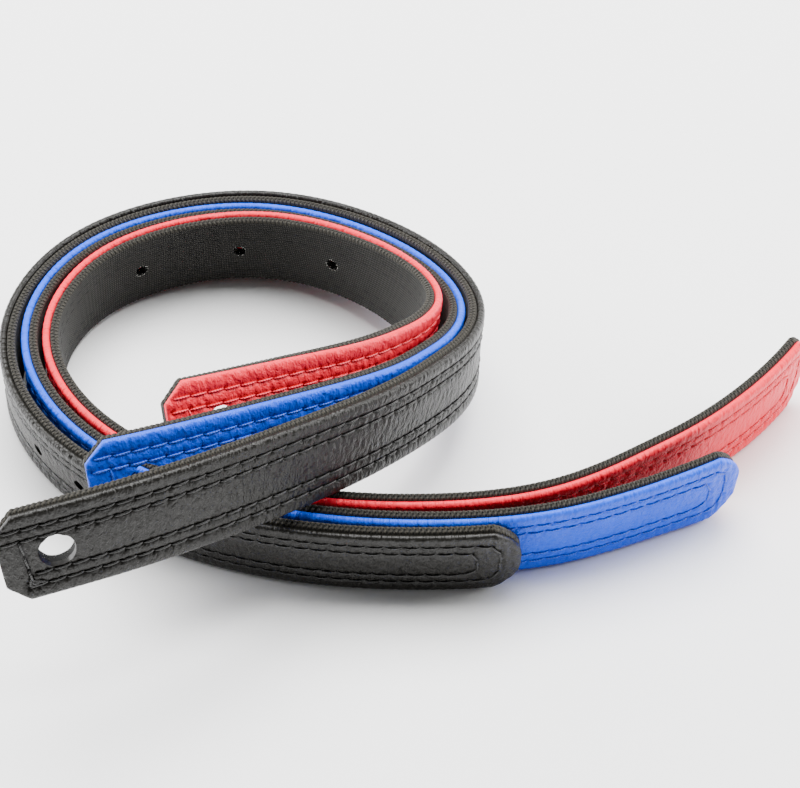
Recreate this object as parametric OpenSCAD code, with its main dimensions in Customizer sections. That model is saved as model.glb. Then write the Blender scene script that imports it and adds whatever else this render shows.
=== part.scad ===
// Set of three flat stitched straps (black, blue and red), nested in one loose coil
// that stands on its edge. Each strap is a woven webbing with a turned facing sewn to
// its outer side by two closed loops of lockstitch, a fixing hole in the clipped end
// and a rounded tip. Millimetres, +Z up, origin on the floor at the middle of the footprint.

/* [Strap] */
// Width of each strap
strap_w = 25; // [15:0.5:40]
// Thickness of the woven webbing
web_t = 2.4; // [1.5:0.1:4]
// Thickness of the turned facing
face_t = 1.8; // [1:0.1:3]
// Length of the black strap, hole end to tip
black_len = 514; // [420:1:514]
// Length of the blue strap, hole end to tip
blue_len = 512; // [420:1:512]
// Length of the red strap, hole end to tip
red_len = 494.5; // [420:0.5:494.5]

/* [Ends] */
// Leg of the clipped corners at the hole end
corner = 5; // [1:0.5:8]
// Length of the rounded tip
tip_len = 7; // [3:0.5:12]

/* [Holes] */
// Diameter of the fixing hole
fix_d = 9; // [5:0.5:9]
// Distance of the fixing hole from the end
fix_at = 13.5; // [12:0.5:30]
// Diameter of the small adjustment holes
adjust_d = 3.5; // [2:0.5:5]
// Distance of the black strap's adjustment holes from its hole end
black_adjust = [381, 398];
// Distance of the blue strap's adjustment holes from its hole end
blue_adjust = [144, 173, 202];
// Distance of the red strap's adjustment holes from its hole end
red_adjust = [144, 173, 202];

/* [Stitching] */
// Outer stitch loop, distance from the middle line
outer_row = 8.4; // [6:0.1:10]
// Inner stitch loop, distance from the middle line
inner_row = 5.1; // [5:0.1:6]
// Width of the thread
thread_w = 0.8; // [0.4:0.1:1.2]
// Height that the thread stands above the surface
thread_h = 0.3; // [0.1:0.1:0.3]

/* [Detail] */
// Spacing of the cross-sections along a strap
pitch = 9; // [6:1:15]

/* [Hidden] */

half = strap_w / 2;
total_t = web_t + face_t;

// Route of the middle strap's outer bottom edge, as control points of a cubic B-spline:
// x, y, height of the lowest corner, and outward lean of the top in degrees.
ROUTE = [
    [-152.5, -85.5, 26, -24.5],
    [-118.5, -72.5, 28, -22.5],
    [-66.5, -67.5, 36.5, -22.5],
    [-23, -40.5, 28, -15],
    [-7, -25, 23, -2],
    [3.5, -10.5, 18, 2.5],
    [17, 14.5, 10.5, 8],
    [5.5, 54, 3.5, -6],
    [-38.5, 84.5, 0, -13],
    [-90, 67.5, 0, -10],
    [-106, 30.5, 0, -6],
    [-95, 0.5, 0, 8],
    [-71, -25.5, 0, 12],
    [-27, -43.5, 0, 14],
    [26, -44.5, 0, 13],
    [51, -36.5, 0, 12],
    [66, -29.5, 0, 12],
    [90, -19.5, 0, 7],
    [123, 13.5, 0, 5],
    [142, 69.5, 0, 8]
];

// Spread of the nest along the same route: how far the outer strap lies outside the
// middle one, how far the inner strap lies inside it, how much higher the inner one stands,
// and the extra lean of the inner and of the outer strap in degrees.
SPREAD = [
    [17, 10.5, 11, -3, 10],
    [18, 8.5, 6.5, -9, 18],
    [3.4, 6.3, 3, -12, 9],
    [5.7, 5.4, 3.8, -1.5, -4],
    [8, 5.7, 2, 2, -3],
    [3.9, 5.8, 0, 0, 0],
    [8, 5.5, 0, 0, 0],
    [4.5, 5.2, 0, 0, 0],
    [5.5, 11.5, 0, 0, 0],
    [6.5, 16.5, 0, 0, 0],
    [7, 18.5, 0, 0, 0]
];

// Straps: 1 outer (black), 0 middle (blue), -1 inner (red)
BLACK = 1;
BLUE = 0;
RED = -1;

black_colour = [0.13, 0.13, 0.12];
blue_colour = [0.10, 0.33, 0.78];
red_colour = [0.88, 0.22, 0.28];
webbing_colour = [0.15, 0.14, 0.12];

// Cubic B-spline through a table of rows, at t from 0 to len - 3
function bspline(v, t) =
    let(i = max(0, min(floor(t), len(v) - 4)), f = t - i)
    (pow(1 - f, 3) * v[i]
     + (3 * pow(f, 3) - 6 * f * f + 4) * v[i + 1]
     + (-3 * pow(f, 3) + 3 * f * f + 3 * f + 1) * v[i + 2]
     + pow(f, 3) * v[i + 3]) / 6;

spans = len(ROUTE) - 3;
spread_spans = len(SPREAD) - 3;

// Unit vectors of the route at t: level and outwards, along it, and up square to both
function axes(t) =
    let(a = bspline(ROUTE, max(0, t - 0.01)), b = bspline(ROUTE, min(spans, t + 0.01)),
        v = [b[0] - a[0], b[1] - a[1], b[2] - a[2]],
        out = [v[1], -v[0], 0] / norm([v[0], v[1]]), tan = v / norm(v))
    [out, tan, cross(out, tan)];

// Point of strap k at route parameter t, u up from the middle line, d in from the outer face
function at_t(k, t, u, d) =
    let(r = bspline(ROUTE, t), g = bspline(SPREAD, t * spread_spans / spans), f = axes(t),
        lean = r[3] + (k == RED ? g[3] : k == BLACK ? g[4] : 0),
        sn = sin(lean), cs = cos(lean),
        off = k == BLACK ? g[0] : k == RED ? -g[1] : 0,
        lift = (k == RED ? g[2] : 0) + total_t * max(0, -sn) * f[2][2])
    [r[0], r[1], r[2] + lift] + f[0] * off
        + (f[0] * sn + f[2] * cs) * (u + half) + (f[2] * sn - f[0] * cs) * d;

// Running length of each strap's middle line against the route parameter
steps = 12;
function table(k) =
    let(p = [for (i = [0 : spans * steps]) at_t(k, i / steps, 0, total_t / 2)])
    [for (i = 0, s = 0; i <= spans * steps;
          s = s + (i < spans * steps ? norm(p[i + 1] - p[i]) : 0), i = i + 1)
        [s, i / steps]];

TABLES = [table(RED), table(BLUE), table(BLACK)];
LENGTHS = [red_len, blue_len, black_len];
// Where each strap's hole end lies along its own line
STARTS = [65.3, 44.5, 21.5];

function along(k, s) = lookup(s + STARTS[k + 1], TABLES[k + 1]);
function at(k, s, u, d) = at_t(k, along(k, s), u, d);

// Half width of a strap's outline at s from the hole end. The tip is the mean of a half
// ellipse and a straight cut.
function outline(k, s) =
    let(e = (s - LENGTHS[k + 1] + tip_len) / tip_len)
    s < corner ? half - corner + s :
    e > 0 ? half * (sqrt(max(0, 1 - e * e)) + 1 - 0.6 * e) / 2 : half;

function stations(k) =
    let(a = corner, b = LENGTHS[k + 1] - tip_len, n = ceil((b - a) / pitch))
    concat([0, corner / 2],
           [for (i = [0 : n]) a + (b - a) * i / n],
           [for (f = [0.3, 0.6, 0.85, 1]) b + tip_len * f]);

// Closed ring sweep: rings of equal point count, capped flat at both ends
module rings(p) {
    m = len(p[0]);
    n = len(p);
    side = [for (i = [0 : n - 2], j = [0 : m - 1])
        each let(a = i * m + j, b = i * m + (j + 1) % m)
            [[a, b, b + m], [a, b + m, a + m]]];
    polyhedron(points = [for (r = p) each r],
               faces = concat([[for (j = [m - 1 : -1 : 0]) j]], side,
                              [[for (j = [0 : m - 1]) (n - 1) * m + j]]));
}

// Cylinder through the strap, square to its surface
module punch(k, s, dia) {
    c = at(k, s, 0, total_t / 2);
    along_v = at(k, s + 1, 0, total_t / 2) - at(k, s - 1, 0, total_t / 2);
    up_v = at(k, s, 1, total_t / 2) - at(k, s, -1, total_t / 2);
    n = cross(along_v, up_v);
    translate(c)
        rotate([0, acos(n[2] / norm(n)), atan2(n[1], n[0])])
            cylinder(d = dia, h = 5 * total_t, center = true, $fn = 48);
}

module punched(k, holes) {
    difference() {
        children();
        punch(k, fix_at, fix_d);
        for (s = holes) punch(k, s, adjust_d);
    }
}

// Woven core: flat band with rounded selvages
module webbing(k) {
    a = face_t;
    b = total_t;
    rings([for (s = stations(k)) let(w = outline(k, s) - 0.1)
        [at(k, s, -w + 0.5, a), at(k, s, -w, a + 0.6), at(k, s, -w, b - 0.6), at(k, s, -w + 0.5, b),
         at(k, s, w - 0.5, b), at(k, s, w, b - 0.6), at(k, s, w, a + 0.6), at(k, s, w - 0.5, a)]]);
}

// Facing: coated fabric turned under along both sides, so its edges are round folds
module facing(k) {
    b = face_t;
    rings([for (s = stations(k)) let(w = outline(k, s))
        [at(k, s, -w + 0.9, 0), at(k, s, -w + 0.2, 0.4), at(k, s, -w, 1), at(k, s, -w + 0.3, b),
         at(k, s, w - 0.3, b), at(k, s, w, 1), at(k, s, w - 0.2, 0.4), at(k, s, w - 0.9, 0)]]);
}

// One stitch loop: two long rows joined by a cross row at each end, as [s, u] points
function loop(k, row, first, last, cut) =
    let(e = LENGTHS[k + 1] - last, mid = [for (s = stations(k)) if (s > first + 1 && s < e - cut - 1) s],
        m = len(mid))
    concat([[first, -row], [first, row]],
           [for (s = mid) [s, row]],
           [[e - cut, row], [e, row - cut], [e, cut - row], [e - cut, -row]],
           [for (i = [m - 1 : -1 : 0]) [mid[i], -row]]);

function unit(v) = v / norm(v);

// Thread laid on a surface at depth d, standing off it by h (negative is outwards)
module thread(k, path, d, h) {
    n = len(path);
    w = thread_w / 2;
    p = [for (i = [0 : n - 1])
        let(a = unit(path[i] - path[(i + n - 1) % n]), b = unit(path[(i + 1) % n] - path[i]),
            t = unit(a + b), c = max(0.6, a * t), q = [-t[1], t[0]] * w / c, o = path[i])
        [at(k, o[0] + q[0], o[1] + q[1], d), at(k, o[0] - q[0], o[1] - q[1], d),
         at(k, o[0], o[1], d + h)]];
    f = [for (i = [0 : n - 1], j = [0 : 2])
        each let(x = i * 3 + j, y = i * 3 + (j + 1) % 3,
                 x2 = ((i + 1) % n) * 3 + j, y2 = ((i + 1) % n) * 3 + (j + 1) % 3)
            (h < 0 ? [[x, y2, y], [x, x2, y2]] : [[x, y, y2], [x, y2, x2]])];
    polyhedron(points = [for (r = p) each r], faces = f);
}

module outer_loop(k, d, h) { thread(k, loop(k, outer_row, 5, 6, 3), d, h); }
module inner_loop(k, d, h) { thread(k, loop(k, inner_row, 6.4, 11.5, 2), d, h); }

module black_webbing() { color(webbing_colour) punched(BLACK, black_adjust) webbing(BLACK); }
module black_facing() { color(black_colour) punched(BLACK, black_adjust) facing(BLACK); }
module black_outer_needle_thread() { color(black_colour) outer_loop(BLACK, 0, -thread_h); }
module black_inner_needle_thread() { color(black_colour) inner_loop(BLACK, 0, -thread_h); }
module black_outer_bobbin_thread() { color(webbing_colour) outer_loop(BLACK, total_t, thread_h); }
module black_inner_bobbin_thread() { color(webbing_colour) inner_loop(BLACK, total_t, thread_h); }

module blue_webbing() { color(webbing_colour) punched(BLUE, blue_adjust) webbing(BLUE); }
module blue_facing() { color(blue_colour) punched(BLUE, blue_adjust) facing(BLUE); }
module blue_outer_needle_thread() { color(blue_colour) outer_loop(BLUE, 0, -thread_h); }
module blue_inner_needle_thread() { color(blue_colour) inner_loop(BLUE, 0, -thread_h); }
module blue_outer_bobbin_thread() { color(webbing_colour) outer_loop(BLUE, total_t, thread_h); }
module blue_inner_bobbin_thread() { color(webbing_colour) inner_loop(BLUE, total_t, thread_h); }

module red_webbing() { color(webbing_colour) punched(RED, red_adjust) webbing(RED); }
module red_facing() { color(red_colour) punched(RED, red_adjust) facing(RED); }
module red_outer_needle_thread() { color(red_colour) outer_loop(RED, 0, -thread_h); }
module red_inner_needle_thread() { color(red_colour) inner_loop(RED, 0, -thread_h); }
module red_outer_bobbin_thread() { color(webbing_colour) outer_loop(RED, total_t, thread_h); }
module red_inner_bobbin_thread() { color(webbing_colour) inner_loop(RED, total_t, thread_h); }

black_webbing();
black_facing();
black_outer_needle_thread();
black_inner_needle_thread();
black_outer_bobbin_thread();
black_inner_bobbin_thread();
blue_webbing();
blue_facing();
blue_outer_needle_thread();
blue_inner_needle_thread();
blue_outer_bobbin_thread();
blue_inner_bobbin_thread();
red_webbing();
red_facing();
red_outer_needle_thread();
red_inner_needle_thread();
red_outer_bobbin_thread();
red_inner_bobbin_thread();
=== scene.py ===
# %% [markdown]
# # Three stitched straps in one coil
# The object is a set of flat straps in black, blue and red. Each is a woven webbing
# core with a coated-fabric facing turned under along both sides and sewn on by two
# closed loops of lockstitch. The straps are flexible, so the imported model's bodies say
# only where they lie. This script gives them their cloth, thread and cut edges.

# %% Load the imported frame
import math

import bpy
import numpy as np
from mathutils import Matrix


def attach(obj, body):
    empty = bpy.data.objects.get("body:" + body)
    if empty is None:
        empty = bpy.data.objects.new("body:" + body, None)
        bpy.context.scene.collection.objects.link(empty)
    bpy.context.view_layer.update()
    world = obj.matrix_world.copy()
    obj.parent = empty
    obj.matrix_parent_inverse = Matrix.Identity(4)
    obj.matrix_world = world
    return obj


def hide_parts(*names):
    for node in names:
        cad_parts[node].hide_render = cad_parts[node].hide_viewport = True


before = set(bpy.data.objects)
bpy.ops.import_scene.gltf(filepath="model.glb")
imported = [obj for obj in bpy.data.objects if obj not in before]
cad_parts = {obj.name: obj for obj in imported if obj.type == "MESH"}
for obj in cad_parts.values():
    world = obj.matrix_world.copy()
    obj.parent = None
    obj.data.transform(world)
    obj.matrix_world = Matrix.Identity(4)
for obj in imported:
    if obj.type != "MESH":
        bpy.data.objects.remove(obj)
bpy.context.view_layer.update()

# %% [markdown]
# ## Camera
# A long lens from 750 mm away, a little above 43 degrees, looks along +Y. A long lens
# keeps the near hole ends and the far side of the coil at nearly the same scale.

# %% Camera
MM = 0.001
VIEW_TARGET = np.array([-1.3, 22.4, 0.0]) * MM
VIEW_DISTANCE = 0.75
VIEW_ELEVATION = math.radians(43.6)
FOCAL_LENGTH = 125.5
SENSOR_WIDTH = 36.0
NEAREST_SEEN = 0.01

lens = bpy.data.cameras.new("view_camera")
lens.lens = FOCAL_LENGTH
lens.sensor_width = SENSOR_WIDTH
lens.clip_start = NEAREST_SEEN
camera = bpy.data.objects.new("view_camera", lens)
bpy.context.scene.collection.objects.link(camera)
camera.location = VIEW_TARGET + VIEW_DISTANCE * np.array(
    [0.0, -math.cos(VIEW_ELEVATION), math.sin(VIEW_ELEVATION)])
camera.rotation_euler = (math.pi / 2 - VIEW_ELEVATION, 0.0, 0.0)
bpy.context.scene.camera = camera
print("camera at", [round(v, 3) for v in camera.location])

# %% [markdown]
# ## The nest as one formula
# All straps follow one route: a cubic B-spline gives the middle strap's lower outer
# edge, how high it stands and how far its top leans outward. A second table says how
# far the outer strap lies outside it and the inner one inside it. Every surface below
# is a sheet of points (s, u, d): s along a strap from its hole end, u up from its middle
# line, and d inward from its outer face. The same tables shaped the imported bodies.

# %% Route tables, in millimetres and degrees
# Middle strap: x, y, height of the lower edge, outward lean
ROUTE = np.array([
    [-152.5, -85.5, 26, -24.5], [-118.5, -72.5, 28, -22.5], [-66.5, -67.5, 36.5, -22.5],
    [-23, -40.5, 28, -15], [-7, -25, 23, -2], [3.5, -10.5, 18, 2.5], [17, 14.5, 10.5, 8],
    [5.5, 54, 3.5, -6], [-38.5, 84.5, 0, -13], [-90, 67.5, 0, -10], [-106, 30.5, 0, -6],
    [-95, 0.5, 0, 8], [-71, -25.5, 0, 12], [-27, -43.5, 0, 14], [26, -44.5, 0, 13],
    [51, -36.5, 0, 12], [66, -29.5, 0, 12], [90, -19.5, 0, 7], [123, 13.5, 0, 5],
    [142, 69.5, 0, 8]])
# Gap to the outer strap, gap to the inner strap, rise of the inner strap, extra lean of
# the inner strap, extra lean of the outer strap
SPREAD = np.array([
    [17, 10.5, 11, -3, 10], [18, 8.5, 6.5, -9, 18], [3.4, 6.3, 3, -12, 9],
    [5.7, 5.4, 3.8, -1.5, -4], [8, 5.7, 2, 2, -3], [3.9, 5.8, 0, 0, 0], [8, 5.5, 0, 0, 0],
    [4.5, 5.2, 0, 0, 0], [5.5, 11.5, 0, 0, 0], [6.5, 16.5, 0, 0, 0], [7, 18.5, 0, 0, 0]])
HALF_WIDTH = 12.5
FACING_T = 1.8
TOTAL_T = 4.2
CORNER = 5.0
TIP_LENGTH = 7.0
FIXING_AT, FIXING_RADIUS = 13.5, 4.5
ADJUST_RADIUS = 1.75
SPANS = len(ROUTE) - 3
SPREAD_SPANS = len(SPREAD) - 3

# side: 1 outside, 0 middle, -1 inside. start: route run before the hole end. adjust:
# where the small holes are. loops: how far the two stitch loops stop short of the tip.
STRAPS = {
    "black": dict(side=1, length=514, start=21.5, adjust=(381, 398),
                  loops=(5.2, 10.6)),
    "blue": dict(side=0, length=512, start=44.5, adjust=(144, 173, 202),
                 loops=(4.2, 8.6)),
    "red": dict(side=-1, length=494.5, start=65.3, adjust=(144, 173, 202),
                loops=(5.2, 10.6)),
}


# %% [markdown]
# ### From the strap to space
# A B-spline is smooth where its spans join, so the cloth shows no kinks. Its parameter
# doesn't run evenly, so each strap measures its own running length along the middle of
# its thickness, and a station s is looked up in that.


# %% From (s, u, d) to space
SLOPE_STEP = 0.01
SAMPLES_PER_SPAN = 12


def bspline(table, t):
    """Uniform cubic B-spline: each point is a mean of four neighbouring rows, weighted
    by the cubic blending polynomials of the fraction of t."""
    i = np.clip(np.floor(t).astype(int), 0, len(table) - 4)
    f = (t - i)[:, None]
    return ((1 - f) ** 3 * table[i] + (3 * f ** 3 - 6 * f ** 2 + 4) * table[i + 1]
            + (-3 * f ** 3 + 3 * f ** 2 + 3 * f + 1) * table[i + 2]
            + f ** 3 * table[i + 3]) / 6


def section(side, t):
    """Base point, width direction and inward direction of a strap at route parameter t.
    The width direction starts square to the route's tangent and turns by the lean."""
    r = bspline(ROUTE, t)
    g = bspline(SPREAD, t * SPREAD_SPANS / SPANS)
    step = bspline(ROUTE, np.minimum(SPANS, t + SLOPE_STEP)) - bspline(
        ROUTE, np.maximum(0, t - SLOPE_STEP))
    tangent = step[:, :3] / np.linalg.norm(step[:, :3], axis=1)[:, None]
    out = np.stack([step[:, 1], -step[:, 0], 0 * t], 1)
    out /= np.linalg.norm(out, axis=1)[:, None]
    up = np.cross(out, tangent)
    lean = np.radians(r[:, 3] + (g[:, 4] if side > 0 else g[:, 3] if side < 0 else 0))
    sin, cos = np.sin(lean)[:, None], np.cos(lean)[:, None]
    offset = g[:, 0] if side > 0 else -g[:, 1] if side < 0 else 0 * t
    base = r[:, :3] + out * offset[:, None]
    rise = g[:, 2] if side < 0 else 0
    base[:, 2] += rise + TOTAL_T * np.maximum(0, -sin[:, 0]) * up[:, 2]
    return base, out * sin + up * cos, up * sin - out * cos


for strap in STRAPS.values():
    t = np.linspace(0, SPANS, SPANS * SAMPLES_PER_SPAN + 1)
    base, wide, inward = section(strap["side"], t)
    line = base + wide * HALF_WIDTH + inward * TOTAL_T / 2
    run = np.concatenate([[0], np.cumsum(np.linalg.norm(np.diff(line, axis=0), axis=1))])
    strap["run"] = (run, t)


def sweep(strap, s, u, d):
    """Points of the grids u and d (rows at stations s), in metres."""
    t = np.interp(s + strap["start"], *strap["run"])
    base, wide, inward = section(strap["side"], t)
    return MM * (base[:, None] + wide[:, None] * (u + HALF_WIDTH)[..., None]
                 + inward[:, None] * d[..., None])


def outline(strap, s):
    """Half width at s: clipped corners at the hole end, and at the tip the mean of a
    half ellipse and a straight cut, f = (sqrt(1 - e^2) + 1 - 0.6 e) / 2."""
    tip = np.clip((s - strap["length"] + TIP_LENGTH) / TIP_LENGTH, 0, 1)
    clip = np.minimum(HALF_WIDTH, HALF_WIDTH - CORNER + s)
    return np.minimum(clip, HALF_WIDTH * (np.sqrt(1 - tip ** 2) + 1 - 0.6 * tip) / 2)


for name, strap in STRAPS.items():
    route_length = round(strap["run"][0][-1])
    print(name, "strap:", strap["length"], "mm of", route_length, "mm of route")

# %% [markdown]
# ## Grids into meshes
# A strap's skin is a closed ring of points carried along s, so one helper turns any
# (stations, ring) grid into a mesh with its two ends capped. It stores s and u as the
# UV map, in metres, so weave and grain follow the strap round the coil.


# %% Mesh helpers
def new_mesh(name, points, corners, sizes):
    """A smooth-shaded mesh from flat arrays: points, then the corner numbers of every
    face in one row, and how many corners each face has."""
    mesh = bpy.data.meshes.new(name)
    mesh.vertices.add(len(points))
    mesh.vertices.foreach_set("co", points.ravel())
    mesh.loops.add(len(corners))
    mesh.loops.foreach_set("vertex_index", corners)
    mesh.polygons.add(len(sizes))
    starts = np.concatenate([[0], np.cumsum(sizes)[:-1]])
    mesh.polygons.foreach_set("loop_start", starts)
    mesh.polygons.foreach_set("use_smooth", np.ones(len(sizes), bool))
    mesh.update(calc_edges=True)
    return mesh


def to_scene(mesh):
    """An object of the mesh's own name, at the origin."""
    piece = bpy.data.objects.new(mesh.name, mesh)
    bpy.context.scene.collection.objects.link(piece)
    return piece


def tube_faces(n, m):
    """Quads between n rings of m points each, with point j of ring i numbered i m + j,
    and the two end faces."""
    i, j = np.meshgrid(np.arange(n - 1), np.arange(m), indexing="ij")
    k = (j + 1) % m
    quads = np.stack([i * m + j, i * m + k, (i + 1) * m + k, (i + 1) * m + j], -1)
    return quads.reshape(-1, 4), [np.arange(m)[::-1], (n - 1) * m + np.arange(m)]


def ring_mesh(name, points, uv, bead=None):
    """One closed shell: quads between neighbouring rings and one face on each end.
    Its signed volume decides which way round the corners go. bead, if given, is kept as a
    point attribute for the material, which uses it as a mask of painted shade between the
    selvage beads."""
    n, m = points.shape[:2]
    quads, caps = tube_faces(n, m)
    flat = points.reshape(-1, 3)
    a, b, c = flat[quads[:, 0]], flat[quads[:, 1]], flat[quads[:, 2]]
    if np.einsum("ij,ij->", a - flat[0], np.cross(b - flat[0], c - flat[0])) < 0:
        quads, caps = quads[:, ::-1], [cap[::-1] for cap in caps]
    corners = np.concatenate([quads.ravel(), *caps])
    sizes = np.concatenate([np.full(len(quads), 4), [m, m]])
    mesh = new_mesh(name, flat, corners, sizes)
    layer = mesh.uv_layers.new(name="UVMap")
    layer.data.foreach_set("uv", uv.reshape(-1, 2)[corners].ravel() * MM)
    if bead is not None:
        shade = mesh.attributes.new("bead", "FLOAT", "POINT")
        shade.data.foreach_set("value", bead.ravel())
    mesh.validate()
    return to_scene(mesh)


# %% [markdown]
# ## Stitch lines
# Two closed loops hold the facing on. Each is a long row up one side, a short row
# across the tip with its corners cut, and a row back. At the hole end the rows run out
# to the clipped edge, and one cross row with a knot of back-stitches locks them.
# A lockstitch enters the cloth about every 4.4 mm, so each loop is turned into needle holes.
# The knot's own holes are listed one by one, because back-stitches wander.

# %% Needle holes along the stitch lines
STITCH = 4.4
OUTER_ROW, INNER_ROW = 8.4, 5.1


def stitch_lines(strap):
    """Corner points (s, u) of each stitch line, in sewing order."""
    end = strap["length"]
    outer, inner = end - strap["loops"][0], end - strap["loops"][1]
    # The loops' corners at the tip are cut by 3 mm and 2 mm. At the hole end the rows
    # stop between 1.2 and 7.4 mm from the clipped edge.
    return [
        np.array([[2.0, OUTER_ROW], [outer - 3, OUTER_ROW], [outer, OUTER_ROW - 3],
                  [outer, 3 - OUTER_ROW], [outer - 3, -OUTER_ROW], [5.6, -OUTER_ROW]]),
        np.array([[1.2, INNER_ROW], [inner - 2, INNER_ROW], [inner, INNER_ROW - 2],
                  [inner, 2 - INNER_ROW], [inner - 2, -INNER_ROW], [7.4, -INNER_ROW]]),
        np.array([[5.6, INNER_ROW], [6.4, -OUTER_ROW + 0.6]]),
    ]


def needle_holes(line):
    """Points about every stitch length along a broken line, by running length."""
    leg = np.linalg.norm(np.diff(line, axis=0), axis=1)
    run = np.concatenate([[0], np.cumsum(leg)])
    at = np.linspace(0, run[-1], max(2, round(run[-1] / STITCH) + 1))
    return np.stack([np.interp(at, run, line[:, 0]), np.interp(at, run, line[:, 1])], 1)


LOCK = np.array([[6.3, -5.6], [5.2, -8.7], [8.2, -7.9], [4.9, -7.5], [7.4, -9.0],
                 [5.8, -6.4], [9.4, -8.3]])
for name, strap in STRAPS.items():
    strap["holes"] = [needle_holes(line) for line in stitch_lines(strap)] + [LOCK]
    print(name, "needle holes:", sum(len(h) for h in strap["holes"]))

# %% [markdown]
# ## The facing
# A coated fabric is soft under thread tension: the rows sink into it, each needle hole
# makes a dimple, and the bands between the rows and the turned sides stand up like
# small cushions. All of that is one height formula on a fine (s, u) grid.


# %% Height of the facing under the stitches
ROW_DEPTH, ROW_SPREAD = 0.26, 0.70
DIMPLE_DEPTH, DIMPLE_SPREAD = 0.42, 0.62
STITCHES_AT_ONCE = 39
HEM_WIDTH = 4.4
HEM_RISE, BAND_RISE, MIDDLE_RISE = 0.26, 0.14, 0.08
END_RAMP = 6.0
CREASE_PITCH = 2.2
CREASE_DEPTH, CREASE_BESIDE_ROWS = 0.045, 0.055


def row_sink(strap, s, u):
    """How deep the stitches pull the facing in, in mm: a narrow Gaussian groove along
    each line, and a round dimple at each needle hole, both from the nearest stitch."""
    sink = np.zeros(s.shape)
    for holes in strap["holes"]:
        for first in range(0, len(holes) - 1, STITCHES_AT_ONCE):
            row = holes[first:first + STITCHES_AT_ONCE + 1]
            near = ((s > row[:, 0].min() - 3) & (s < row[:, 0].max() + 3)
                    & (u > row[:, 1].min() - 2) & (u < row[:, 1].max() + 2))
            if not near.any():
                continue
            p = np.stack([s[near], u[near]], 1)[:, None]
            a, b = row[:-1][None], row[1:][None]
            along = np.clip(((p - a) * (b - a)).sum(2) / ((b - a) ** 2).sum(2), 0, 1)
            gap = np.linalg.norm(p - a - along[..., None] * (b - a), axis=2).min(1)
            hole = np.linalg.norm(p - row[None], axis=2).min(1)
            depth = (ROW_DEPTH * np.exp(-(gap / ROW_SPREAD) ** 2)
                     + DIMPLE_DEPTH * np.exp(-(hole / DIMPLE_SPREAD) ** 2))
            sink[near] = np.maximum(sink[near], depth)
    return sink


def swell(strap, s, u):
    """How far the bands between the rows stand up, in mm: a sine hump over the turned
    side, a lower one between the two rows, and a faint one along the middle."""
    a = np.abs(u)
    hem = np.sin(np.pi * np.clip((a - OUTER_ROW) / HEM_WIDTH, 0, 1))
    band = np.sin(np.pi * np.clip((a - INNER_ROW) / (OUTER_ROW - INNER_ROW), 0, 1))
    middle = np.cos(np.pi / 2 * np.clip(a / INNER_ROW, 0, 1))
    ends = np.clip(s / END_RAMP, 0, 1) * np.clip((strap["length"] - s) / END_RAMP, 0, 1)
    return ends * (HEM_RISE * hem + BAND_RISE * band + MIDDLE_RISE * middle)


def puckers(strap, s, u):
    """Fine cross creases, in mm: sines along s whose phase drifts with u and with slow
    sines of s, strongest beside the rows where the thread gathers the cloth."""
    a = np.abs(u)
    beside = (np.exp(-((a - INNER_ROW) / 1.6) ** 2)
              + 0.6 * np.exp(-((a - OUTER_ROW) / 1.4) ** 2))
    drift = 1.3 * np.sin(s / 7.3 + strap["side"]) + 0.8 * np.sin(s / 3.1 + u / 2.3)
    wave = np.sin(2 * np.pi * s / CREASE_PITCH + drift + 0.35 * u)
    return (CREASE_DEPTH + CREASE_BESIDE_ROWS * beside) * wave


# %% [markdown]
# ### The facing's own ring
# Across the strap the facing is a flat face with a half round at each side, where the
# fabric turns under. Along it, stations are close enough to show each needle dimple,
# and they crowd together towards the end of the tip, where the outline turns fastest.


# %% Facing skins
FACE_STEP = 0.55
SIDE_STEPS, BACK_STEPS = 8, 6
END_ROUND = 0.35


def tip_stations(strap, count):
    """Stations over the tip, from sin of a quarter turn, closer towards the end."""
    quarter = np.sin(np.linspace(0, 1, count) * np.pi / 2)
    return strap["length"] - TIP_LENGTH * (1 - quarter)


def facing_ring(strap, s):
    """Ring of (u, d) at each station. The outer face is sampled finely near the rows,
    then a half ellipse of 0.9 by 0.9 mm turns each side under to the flat back."""
    rows = np.concatenate(
        [row + np.linspace(-1.0, 1.0, 8) for row in (INNER_ROW, OUTER_ROW)])
    face = np.unique(np.concatenate([[0, 1.3, 2.6, 3.6], rows, [10.0, 10.8, 11.5]]))
    face = np.concatenate([-face[:0:-1], face]) / 11.6
    fold = FACING_T / 2
    wide = outline(strap, s)[:, None]
    flat = wide - fold
    u_face = face[None] * flat
    turn = np.linspace(0, np.pi, SIDE_STEPS)[1:-1][None]
    u_top = flat + fold * np.sin(turn)
    d_turn = fold - fold * np.cos(turn) + 0 * wide
    back = np.linspace(1, -1, BACK_STEPS)[None] * flat
    u = np.concatenate([u_face, u_top, back, -u_top[:, ::-1]], 1)
    d = np.concatenate([0 * u_face, d_turn, 0 * back + FACING_T, d_turn[:, ::-1]], 1)
    return u, d


def build_facing(name, strap):
    """The facing's closed shell, with stitch rows, bands and creases on its outer side.
    The relief fades to nothing round the turned sides."""
    inner = np.arange(CORNER, strap["length"] - TIP_LENGTH, FACE_STEP)
    s = np.concatenate([[0, 0.15, 0.5], np.arange(1, CORNER, 0.5), inner,
                        tip_stations(strap, 22)])
    u, d = facing_ring(strap, s)
    along = np.broadcast_to(s[:, None], u.shape)
    fade = np.clip(1 - d / FACING_T, 0, 1) ** 2
    height = swell(strap, along, u) + puckers(strap, along, u) - row_sink(strap, along, u)
    rim = np.clip(np.minimum(s, strap["length"] - s) / 0.5, 0, 1)[:, None]
    relief = d - fade * height * rim + END_ROUND * (1 - rim) * (fade > 0.5)
    piece = ring_mesh(name + "_facing_skin", sweep(strap, s, u, relief),
                      np.stack([along, u], -1))
    print(piece.name, len(piece.data.polygons), "faces")
    return piece


facings = {name: build_facing(name, strap) for name, strap in STRAPS.items()}
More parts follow.
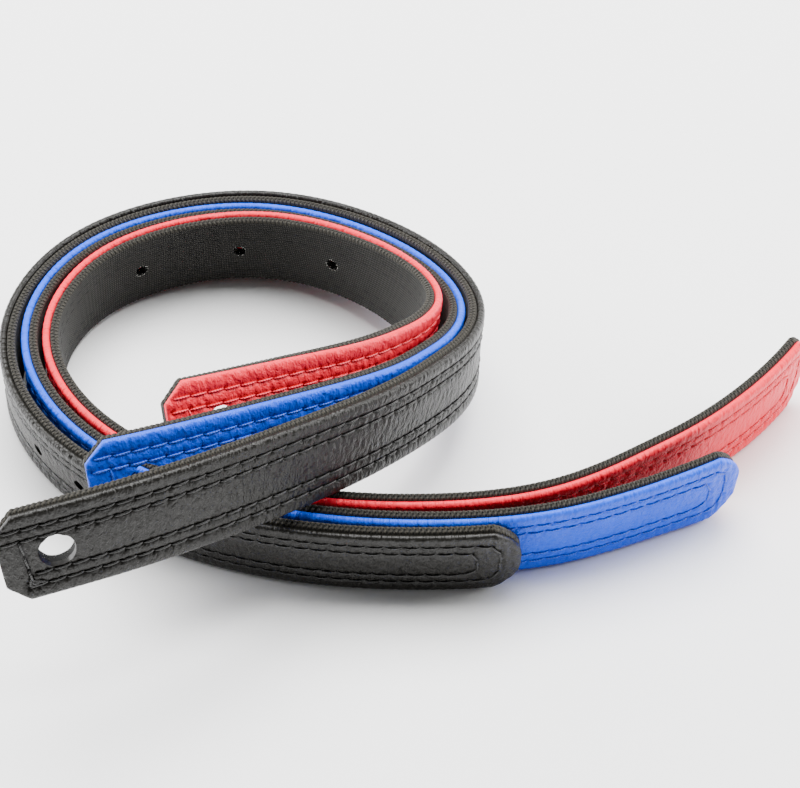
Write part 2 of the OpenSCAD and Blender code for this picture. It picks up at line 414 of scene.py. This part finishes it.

# %% [markdown]
# ## The webbing core
# Narrow-woven polyester webbing has ribbed faces and a hard selvage where every weft pick
# turns back. From the side the turns read as two columns of slanted beads. The beads are
# real relief, because they break the silhouette; the fine ribs are bump, with painted shade
# between them.

# %% Webbing cores
PICK = 1.3
STATIONS_PER_PICK = 6
EDGE_RADIUS = 0.8
CORE_INSET = 0.1
FACE_SKIN = 0.05
FLAT_SHARE = 0.98


def build_webbing(name, strap):
    """Closed shell of the core. Round each selvage, at angle w from the back to the
    front, the radius grows by |cos(pi (s / pick + 0.55 |sin w|))|, which slants the
    beads outwards from a centre groove, with the two columns half a pick apart."""
    straight = np.arange(0.4, strap["length"] - TIP_LENGTH, PICK / STATIONS_PER_PICK)
    s = np.concatenate([[0, 0.2], straight, tip_stations(strap, 20)])
    thick = (TOTAL_T - FACING_T) / 2
    wide = outline(strap, s)[:, None] - CORE_INSET
    flat = wide - EDGE_RADIUS
    w = np.linspace(-np.pi / 2, np.pi / 2, 11)[None]
    along = s[:, None]
    column = (np.sin(w) > 0) * 0.5
    bead = np.abs(np.cos(np.pi * (along / PICK + 0.55 * np.abs(np.sin(w)) + column))) ** 0.7
    groove = np.exp(-(np.sin(w) / 0.22) ** 2)
    lift = 0.50 * bead * np.cos(w) ** 0.4 - 0.2 * groove - 0.2
    u_edge = flat + (EDGE_RADIUS + lift) * np.cos(w)
    d_edge = TOTAL_T - thick + (thick - FACE_SKIN + 0.25 * lift * np.cos(w)) * np.sin(w)
    face = np.linspace(1, -1, 13)[None] * flat * FLAT_SHARE
    front = np.linspace(-1, 1, 4)[None] * flat * FLAT_SHARE
    u = np.concatenate([front, u_edge, face, -u_edge[:, ::-1]], 1)
    d = np.concatenate([0 * front + FACING_T + FACE_SKIN, d_edge,
                        0 * face + TOTAL_T - FACE_SKIN, d_edge[:, ::-1]], 1)
    along = np.broadcast_to(along, u.shape)
    # 0 to 1 on the beads, low in the valleys between them and in their groove, as a mask of
    # painted shade; -1 on the faces, where the weave's painted shade shows instead
    bead_shade_mask = np.where(np.cos(w) > 0.1, np.clip(1.3 * bead - 0.3 - 0.5 * groove, 0, 1), -1)
    bead_shade_mask = np.concatenate([0 * front - 1 + 0 * s[:, None], bead_shade_mask,
                            0 * face - 1 + 0 * s[:, None], bead_shade_mask[:, ::-1]], 1)
    piece = ring_mesh(name + "_webbing_core", sweep(strap, s, u, d),
                      np.stack([along, u], -1), bead_shade_mask)
    print(piece.name, len(piece.data.polygons), "faces")
    return piece


webbings = {name: build_webbing(name, strap) for name, strap in STRAPS.items()}

# %% [markdown]
# ## Punched holes
# The holes were punched through facing and webbing together, so one cutter per strap
# goes through both. Its wall is slightly uneven, as a punch leaves cloth. The cut wall
# keeps the cloth's own finish; the pale yarn ends are hairs of their own, made below.


# %% Cutters
OVERSHOOT = 3.0


def punched(strap):
    """(s, radius) of every hole: the fixing hole, then the adjustment holes."""
    return [(FIXING_AT, FIXING_RADIUS)] + [(s, ADJUST_RADIUS) for s in strap["adjust"]]


def hole_cutter(name, strap):
    """One tube per hole, its radius waved by a few hundredths and its axis square to
    the strap: the tube is the ring (u, d) = hole centre + r (cos, sin) swept in d."""
    turn = np.linspace(0, 2 * np.pi, 49)[:-1]
    points, faces = [], []
    for s0, radius in punched(strap):
        wavy = radius + 0.05 * np.sin(5 * turn + s0) + 0.03 * np.sin(11 * turn)
        middle = np.zeros((1, 2)), np.array([[0.0, TOTAL_T]])
        here = sweep(strap, np.array([s0]), *middle)[0]
        axis = (here[1] - here[0]) / np.linalg.norm(here[1] - here[0])
        rim = sweep(strap, np.array([s0]), np.array([[12.0, -12.0]]), np.zeros((1, 2)))[0]
        up = (rim[0] - rim[1]) / np.linalg.norm(rim[0] - rim[1])
        side = np.cross(up, axis)
        round_it = np.cos(turn)[:, None] * side + np.sin(turn)[:, None] * up
        ring = MM * wavy[:, None] * round_it
        start = len(points) * len(turn)
        for depth in (-OVERSHOOT, TOTAL_T + OVERSHOOT):
            points.append(here[0] + axis * depth * MM + ring)
        i = start + np.arange(len(turn))
        j = start + (np.arange(len(turn)) + 1) % len(turn)
        faces += np.stack([i, j, j + len(turn), i + len(turn)], 1).tolist()
        faces += [i[::-1].tolist(), (i + len(turn)).tolist()]
    mesh = bpy.data.meshes.new(name + "_punch")
    mesh.from_pydata(np.concatenate(points).tolist(), [], faces)
    mesh.update()
    return to_scene(mesh)


# %% [markdown]
# ### Cutting
# A Boolean modifier subtracts the cutter. Its result is taken as a new mesh, so the
# piece keeps no modifier, and the rims of the holes are marked sharp.


# %% Cut the holes
def cut(piece, cutter):
    """Boolean difference, applied: the piece keeps plain mesh data and no modifier."""
    step = piece.modifiers.new("holes", "BOOLEAN")
    step.operation, step.solver, step.object = "DIFFERENCE", "MANIFOLD", cutter
    graph = bpy.context.evaluated_depsgraph_get()
    mesh = bpy.data.meshes.new_from_object(piece.evaluated_get(graph))
    piece.modifiers.clear()
    old, piece.data = piece.data, mesh
    mesh.name = piece.name
    bpy.data.meshes.remove(old)
    mesh.set_sharp_from_angle(angle=math.radians(55))


for name, strap in STRAPS.items():
    cutter = hole_cutter(name, strap)
    for piece in (facings[name], webbings[name]):
        cut(piece, cutter)
        print(piece.name, "faces after punching:", len(piece.data.polygons))
    bpy.data.objects.remove(cutter)

# %% [markdown]
# ## Lockstitches
# On the facing side each stitch is a short hump of thread that dives into a needle
# hole at both ends; the bobbin thread does the same on the webbing side. Hundreds are
# needed, so one small tube is written once and placed by its two holes.


# %% Stitches
NEEDLE = dict(surface=0.24, side=-1, radius=0.31, lift=0.54)
BOBBIN = dict(surface=TOTAL_T - 0.22, side=1, radius=0.24, lift=0.32)
STITCH_STATIONS = np.array([0.0, 0.12, 0.32, 0.68, 0.88, 1.0])
STITCH_GIRTH = np.array([0.55, 0.9, 1.0, 1.0, 0.9, 0.55])
STITCH_TURN = np.linspace(0, 2 * np.pi, 6)[:-1]
TWIST, DIVE = 0.14, 0.26


def stitch_points(strap, holes, surface, side, radius, lift):
    """Points and UVs of the stitches of one row. A point of a stitch at v (0 to 1) lies
    on the line between its needle holes, shifted sideways by the twist, at height
    h = lift (1 - (2v - 1)^4) - dive; five points ring it. side is -1 outwards, 1 inwards."""
    v, turn = STITCH_STATIONS, STITCH_TURN
    girth = radius * STITCH_GIRTH
    height = lift * (1 - (2 * v - 1) ** 4) - DIVE
    a, b = holes[:-1], holes[1:]
    along = (b - a) / np.linalg.norm(b - a, axis=1)[:, None]
    across = np.stack([-along[:, 1], along[:, 0]], 1)
    centre = (a[:, None] + v[None, :, None] * (b - a)[:, None]
              + TWIST * (2 * v - 1)[None, :, None] * across[:, None])
    centre = centre[:, :, None] + (girth[:, None] * np.cos(turn))[None, ..., None] \
        * across[:, None, None]
    rise = height[:, None] + girth[:, None] * np.sin(turn)
    depth = surface + side * np.broadcast_to(rise, centre.shape[:3])
    flat = centre.reshape(-1, 2)
    order = np.argsort(flat[:, 0], kind="stable")
    points = np.empty((len(flat), 3))
    points[order] = sweep(strap, flat[order, 0], flat[order, 1:2],
                          depth.reshape(-1)[order, None])[:, 0]
    uv = np.stack([np.broadcast_to(v[None, :, None], centre.shape[:3]).ravel(),
                   np.broadcast_to(turn / (2 * np.pi), centre.shape[:3]).ravel()], 1)
    return points, uv


def stitch_mesh(name, strap, thread):
    """One mesh for all stitches of a strap face: the faces of one tube are written once
    and repeated with their corner numbers moved on."""
    rows = [stitch_points(strap, holes, **thread) for holes in strap["holes"]]
    points, uv = (np.concatenate(part) for part in zip(*rows))
    n, m = len(STITCH_STATIONS), len(STITCH_TURN)
    count = len(points) // (n * m)
    quads, caps = tube_faces(n, m)
    quads, caps = quads[:, [0, 3, 2, 1]], [cap[::-1] for cap in caps]
    if thread["side"] > 0:
        quads, caps = quads[:, ::-1], [cap[::-1] for cap in caps]
    one = np.concatenate([quads.ravel(), *caps])
    corners = (one[None] + (np.arange(count) * n * m)[:, None]).ravel()
    sizes = np.tile(np.concatenate([np.full(len(quads), 4), [m, m]]), count)
    mesh = new_mesh(name, points, corners, sizes)
    mesh.uv_layers.new(name="UVMap").data.foreach_set("uv", uv[corners].ravel())
    print(name, count, "stitches")
    return to_scene(mesh)


needle, bobbin = {}, {}
for name, strap in STRAPS.items():
    needle[name] = stitch_mesh(name + "_needle_stitches", strap, NEEDLE)
    bobbin[name] = stitch_mesh(name + "_bobbin_stitches", strap, BOBBIN)

# %% [markdown]
# ## Frayed yarn ends
# Punching cuts the yarns, so short pale ends stand into each hole from the webbing's
# wall. They are thin bent hairs, with three sides each.


# %% Frayed ends in the holes
HAIRS = {FIXING_RADIUS: 110, ADJUST_RADIUS: 60}
HAIR_RINGS = ((0.0, 0.05), (0.5, 0.045), (1.0, 0.02))
HAIR_SIDES = (0.0, 2.1, 4.2)


def fray_mesh(name, strap):
    """Hairs round each hole: each starts on the wall at angle q and depth d and bends
    inwards along a quadratic; every third one lies outwards on the webbing instead.
    Lengths and angles come from a seeded generator."""
    draw = np.random.default_rng(7 + strap["side"])
    verts, faces = [], []
    for s0, radius in punched(strap):
        count = HAIRS[radius]
        base = sum(len(v) for v in verts)
        q = draw.uniform(0, 2 * np.pi, count)
        d0 = draw.uniform(FACING_T, TOTAL_T, count)
        reach = draw.uniform(0.15, 0.62, count) * min(1, radius / 3)
        d0[::3], reach[::3] = TOTAL_T + 0.06, -1.3 * reach[::3]
        swing = draw.uniform(-0.25, 0.25, count)
        for v, thin in HAIR_RINGS:
            r = radius + 0.08 - reach * v
            angle = q + swing * v * v / max(radius, 2)
            depth = d0 + 0.35 * swing * v
            for turn in HAIR_SIDES:
                u = r * np.sin(angle) + thin * math.cos(turn)
                s = s0 + r * np.cos(angle) + thin * math.sin(turn)
                order = np.argsort(s)
                spot = np.empty((count, 3))
                spot[order] = sweep(strap, s[order], u[order, None],
                                    depth[order, None])[:, 0]
                verts.append(spot)
        k = base + np.arange(count)
        for ring in (0, 3):
            for a, b in ((0, 1), (1, 2), (2, 0)):
                faces += np.stack([k + (ring + a) * count, k + (ring + b) * count,
                                   k + (ring + 3 + b) * count, k + (ring + 3 + a) * count],
                                  1).tolist()
    mesh = bpy.data.meshes.new(name)
    mesh.from_pydata(np.concatenate(verts).tolist(), [], faces)
    mesh.update()
    print(name, len(faces), "faces")
    return to_scene(mesh)


frays = {name: fray_mesh(name + "_hole_fray", strap) for name, strap in STRAPS.items()}

# %% [markdown]
# ## Finishes
# Each material starts from what the real one is. Colours are written as sRGB hex and
# turned to linear light, and each pattern's scale comes from a size in millimetres.


# %% Material helpers
def linear(hex_colour):
    """sRGB hex to linear RGBA: v / 12.92 below 0.04045, else ((v + 0.055) / 1.055)^2.4."""
    values = [int(hex_colour[i:i + 2], 16) / 255 for i in (1, 3, 5)]
    return [v / 12.92 if v <= 0.04045 else ((v + 0.055) / 1.055) ** 2.4
            for v in values] + [1.0]


def add(tree, kind, links=None, **settings):
    """A node with its settings (node fields, or sockets by name) and its input links."""
    node = tree.nodes.new(kind)
    for key, value in settings.items():
        if hasattr(node, key):
            setattr(node, key, value)
        else:
            node.inputs[key.replace("_", " ")].default_value = value
    for socket, source in (links or {}).items():
        tree.links.new(source, node.inputs[socket])
    return node


def new_material(title):
    """An empty node material and its tree; finish_material adds the output."""
    material = bpy.data.materials.new(title)
    material.use_nodes = True
    material.node_tree.nodes.clear()
    return material, material.node_tree


def finish_material(tree, shader):
    add(tree, "ShaderNodeOutputMaterial", {"Surface": shader.outputs["BSDF"]})


# %% [markdown]
# ### Coated fabric
# The facing is polyurethane-coated fabric, embossed with a fine leather grain: IOR 1.5,
# satin, with a lowered specular level, because the embossing breaks up the shine. The
# grain is cells of about 0.7 mm. Creases, about 1.3 mm along the strap and 2.6 mm across
# it, come from stretched noise, because the thread gathers the cloth.


# %% Polyurethane-coated fabric
GRAINS_PER_METRE = 1400
CREASES_PER_METRE = (760, 380)
CREASE_SLANT = 0.12
CLOUDS_PER_METRE = 160.0


def coated_fabric(title, mid, deep, rough, level):
    material, tree = new_material(title)
    place = add(tree, "ShaderNodeUVMap", uv_map="UVMap")
    grain_at = add(tree, "ShaderNodeMapping", {"Vector": place.outputs["UV"]},
                   Scale=(GRAINS_PER_METRE, GRAINS_PER_METRE, 1))
    grain = add(tree, "ShaderNodeTexVoronoi", {"Vector": grain_at.outputs["Vector"]},
                feature="DISTANCE_TO_EDGE", Scale=1.0, Randomness=1.0)
    crease_at = add(tree, "ShaderNodeMapping", {"Vector": place.outputs["UV"]},
                    Scale=(*CREASES_PER_METRE, 1), Rotation=(0, 0, CREASE_SLANT))
    crease = add(tree, "ShaderNodeTexNoise", {"Vector": crease_at.outputs["Vector"]},
                 Scale=1.0, Detail=2.5, Roughness=0.55, Distortion=0.35)
    cloud = add(tree, "ShaderNodeTexNoise", {"Vector": place.outputs["UV"]},
                Scale=CLOUDS_PER_METRE, Detail=2.0)
    tone = add(tree, "ShaderNodeMix", {0: cloud.outputs["Fac"]}, data_type="RGBA")
    tone.inputs[6].default_value, tone.inputs[7].default_value = linear(deep), linear(mid)
    gloss = add(tree, "ShaderNodeMapRange", {"Value": crease.outputs["Fac"]})
    gloss.inputs["To Min"].default_value = rough - 0.06
    gloss.inputs["To Max"].default_value = rough + 0.08
    fine = add(tree, "ShaderNodeBump", {"Height": grain.outputs["Distance"]},
               Strength=0.6, Distance=0.00025)
    creased = add(tree, "ShaderNodeBump", {"Height": crease.outputs["Fac"],
                                           "Normal": fine.outputs["Normal"]},
                  Strength=1.0, Distance=0.0008)
    shader = add(tree, "ShaderNodeBsdfPrincipled",
                 {"Base Color": tone.outputs[2], "Roughness": gloss.outputs["Result"],
                  "Normal": creased.outputs["Normal"]}, IOR=1.5, Specular_IOR_Level=level)
    finish_material(tree, shader)
    return material


# main colour, deeper colour, roughness, specular level
SKIN_FINISH = {"black": ("#171511", "#0e0d0a", 0.36, 0.28),
               "blue": ("#1558ee", "#0d46d2", 0.40, 0.22),
               "red": ("#f8243c", "#e2162e", 0.40, 0.22)}
skins = {name: coated_fabric(name + "_polyurethane_coated_fabric", *finish)
         for name, finish in SKIN_FINISH.items()}
print("coated fabrics:", [m.name for m in skins.values()])

# %% [markdown]
# ### Woven polyester webbing
# Spun-dyed polyester yarn is matt with a faint sheen. The face shows ribs about 0.7 mm apart
# both ways, drawn as two crossed waves; the gaps between ribs are darkened with painted
# shade, and so are those between the selvage beads, whose height the mesh carries as an
# attribute.


# %% Woven polyester webbing
WARP_PERIOD, WEFT_PERIOD = 0.80 * MM, 0.70 * MM
FUZZ_PER_METRE = 900.0
ON_SELVAGE = -0.3


def woven_webbing(title, yarn, gap):
    material, tree = new_material(title)
    place = add(tree, "ShaderNodeUVMap", uv_map="UVMap")
    ribs = []
    for direction, period in (("X", WEFT_PERIOD), ("Y", WARP_PERIOD)):
        ribs.append(add(tree, "ShaderNodeTexWave", {"Vector": place.outputs["UV"]},
                        wave_type="BANDS", bands_direction=direction,
                        Scale=math.pi / 10 / period, Distortion=0.4, Detail=1.0))
    weave = add(tree, "ShaderNodeMath",
                {0: ribs[0].outputs["Fac"], 1: ribs[1].outputs["Fac"]},
                operation="MULTIPLY")
    fuzz = add(tree, "ShaderNodeTexNoise", {"Vector": place.outputs["UV"]},
               Scale=FUZZ_PER_METRE, Detail=3.0)
    # The bead attribute is a mask of painted shade: low in the valleys between selvage beads
    # and in their groove.
    bead = add(tree, "ShaderNodeAttribute", attribute_name="bead")
    selvage = add(tree, "ShaderNodeMath", {0: bead.outputs["Fac"]},
                  operation="GREATER_THAN")
    selvage.inputs[1].default_value = ON_SELVAGE
    yarn_or_shade_mask = add(tree, "ShaderNodeMix", {0: selvage.outputs["Value"],
                                        2: weave.outputs["Value"], 3: bead.outputs["Fac"]})
    # Painted shade: where the mask is low, the nearly black gap colour stands for shade
    # between ribs and between selvage beads.
    tone = add(tree, "ShaderNodeMix", {0: yarn_or_shade_mask.outputs[0]}, data_type="RGBA")
    tone.inputs[6].default_value, tone.inputs[7].default_value = linear(gap), linear(yarn)
    hairy = add(tree, "ShaderNodeBump", {"Height": fuzz.outputs["Fac"]},
                Strength=0.5, Distance=0.0002)
    ribbed = add(tree, "ShaderNodeBump", {"Height": weave.outputs["Value"],
                                          "Normal": hairy.outputs["Normal"]},
                 Strength=0.8, Distance=0.0003)
    shader = add(tree, "ShaderNodeBsdfPrincipled",
                 {"Base Color": tone.outputs[2], "Normal": ribbed.outputs["Normal"]},
                 Roughness=0.8, Sheen_Weight=0.05, Sheen_Roughness=0.5, IOR=1.5,
                 Specular_IOR_Level=0.25)
    finish_material(tree, shader)
    return material


# The second colour is painted shade for the gaps between ribs and beads, not a yarn colour.
webbing_cloth = woven_webbing("spun_dyed_polyester_webbing", "#38352e", "#040403")
print("webbing:", webbing_cloth.name)

# %% [markdown]
# ### Sewing thread
# Bonded polyester thread is smooth and slightly waxy; its three plies show as a twist of
# about 1 mm, drawn by a slanted wave on the stitch's own map, as bump and as painted shade
# in the grooves between the plies.


# %% Bonded polyester thread
def sewing_thread(title, colour, rough=0.38):
    material, tree = new_material(title)
    place = add(tree, "ShaderNodeUVMap", uv_map="UVMap")
    turned = add(tree, "ShaderNodeMapping", {"Vector": place.outputs["UV"]},
                 Scale=(4.0, 1.0, 1.0), Rotation=(0, 0, 0.6))
    plies = add(tree, "ShaderNodeTexWave", {"Vector": turned.outputs["Vector"]},
                wave_type="BANDS", bands_direction="X", Scale=0.6)
    tone = add(tree, "ShaderNodeMix", {0: plies.outputs["Fac"]}, data_type="RGBA")
    dark = linear(colour)
    # Painted shade: the grooves between the plies are drawn at 0.55 of the thread's colour.
    tone.inputs[6].default_value = [0.55 * v for v in dark[:3]] + [1.0]
    tone.inputs[7].default_value = dark
    twist = add(tree, "ShaderNodeBump", {"Height": plies.outputs["Fac"]},
                Strength=0.6, Distance=0.0001)
    shader = add(tree, "ShaderNodeBsdfPrincipled",
                 {"Base Color": tone.outputs[2], "Normal": twist.outputs["Normal"]},
                 Roughness=rough, IOR=1.53)
    finish_material(tree, shader)
    return material


threads = {"black": sewing_thread("black_bonded_polyester_thread", "#151412"),
           "blue": sewing_thread("blue_bonded_polyester_thread", "#1a5ae6"),
           "red": sewing_thread("red_bonded_polyester_thread", "#fb2a42"),
           "bobbin": sewing_thread("matt_black_bobbin_thread", "#0e0d0b", 0.8)}


# %% [markdown]
# ### Cut yarn ends
# The cut ends of these yarns show pale against the dark cloth. A fine speckle keeps the
# hairs from looking like one plastic piece.


# %% Cut yarn ends
def cut_yarn(title, light, dark):
    material, tree = new_material(title)
    place = add(tree, "ShaderNodeTexCoord")
    speck = add(tree, "ShaderNodeTexNoise", {"Vector": place.outputs["Object"]},
                Scale=2500.0, Detail=2.0)
    tone = add(tree, "ShaderNodeMix", {0: speck.outputs["Fac"]}, data_type="RGBA")
    tone.inputs[6].default_value, tone.inputs[7].default_value = linear(dark), linear(light)
    shader = add(tree, "ShaderNodeBsdfPrincipled", {"Base Color": tone.outputs[2]},
                 Roughness=0.85)
    finish_material(tree, shader)
    return material


yarn_ends = cut_yarn("cut_polyester_yarn_ends", "#fbf9f3", "#c9c6be")
print("threads:", [m.name for m in threads.values()], yarn_ends.name)

# %% [markdown]
# ## Put the pieces on the frame
# Every piece rides on the one body and stands for the packed solids that it replaces. A cut
# mesh comes with an empty material slot, which is cleared first: left in place, it would put
# the piece's finish second and show none.

# %% Bodies, materials and replaced nodes
for name, strap in STRAPS.items():
    for piece, material, slot, nodes in (
            (facings[name], skins[name], name + "_facing", ["facing"]),
            (webbings[name], webbing_cloth, "webbing", ["webbing"]),
            (needle[name], threads[name], name + "_thread",
             ["outer_needle_thread", "inner_needle_thread"]),
            (bobbin[name], threads["bobbin"], "bobbin_thread",
             ["outer_bobbin_thread", "inner_bobbin_thread"]),
            (frays[name], yarn_ends, "webbing", [])):
        piece.data.materials.clear()
        piece.data.materials.append(material)
        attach(piece, "root")
        if nodes:
            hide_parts(*[name + "_" + node for node in nodes])

# %% [markdown]
# ## Floor and light
# A plain pale floor, three soft boxes and a weak white surround. The strongest box is
# overhead and a little behind the coil. The two low ones, left and right, put a broad
# sheen on the satin facing where it turns away from the eye.

# %% Floor
FLOOR_REACH = 3.0
FLOOR_DROP = 0.0005
corners = [(x * FLOOR_REACH, y * FLOOR_REACH, -FLOOR_DROP)
           for x, y in ((-1, -1), (1, -1), (1, 1), (-1, 1))]
floor_mesh = bpy.data.meshes.new("pale_floor")
floor_mesh.from_pydata(corners, [], [(0, 1, 2, 3)])
floor = to_scene(floor_mesh)
floor_paint, floor_tree = new_material("matt_white_paper")
finish_material(floor_tree, add(floor_tree, "ShaderNodeBsdfPrincipled",
                                Base_Color=linear("#fbfbfb"), Roughness=0.9))
floor_mesh.materials.append(floor_paint)


# %% [markdown]
# ### Soft boxes
# A large area light close by gives soft edges to every shadow. Each is turned so that
# its face looks at the middle of the coil.


# %% Lights
SURROUND = 0.2


def soft_box(name, at, size, watts):
    """A square area light at a point, turned to face the middle of the coil."""
    data = bpy.data.lights.new(name, "AREA")
    data.size, data.energy = size, watts
    box = bpy.data.objects.new(name, data)
    bpy.context.scene.collection.objects.link(box)
    box.location = at
    away = np.array(at) - VIEW_TARGET
    flat = math.hypot(away[0], away[1])
    box.rotation_euler = (math.atan2(flat, away[2]), 0, math.atan2(away[0], -away[1]))


soft_box("left_box", (-0.95, 0.35, 0.35), 0.7, 18.0)
soft_box("right_box", (1.0, 0.35, 0.50), 0.8, 22.0)
soft_box("top_box", (0.0, 0.45, 1.3), 1.3, 78.0)
sky = bpy.data.worlds.new("white_room")
sky.use_nodes = True
sky.node_tree.nodes["Background"].inputs["Color"].default_value = (1, 1, 1, 1)
sky.node_tree.nodes["Background"].inputs["Strength"].default_value = SURROUND
bpy.context.scene.world = sky
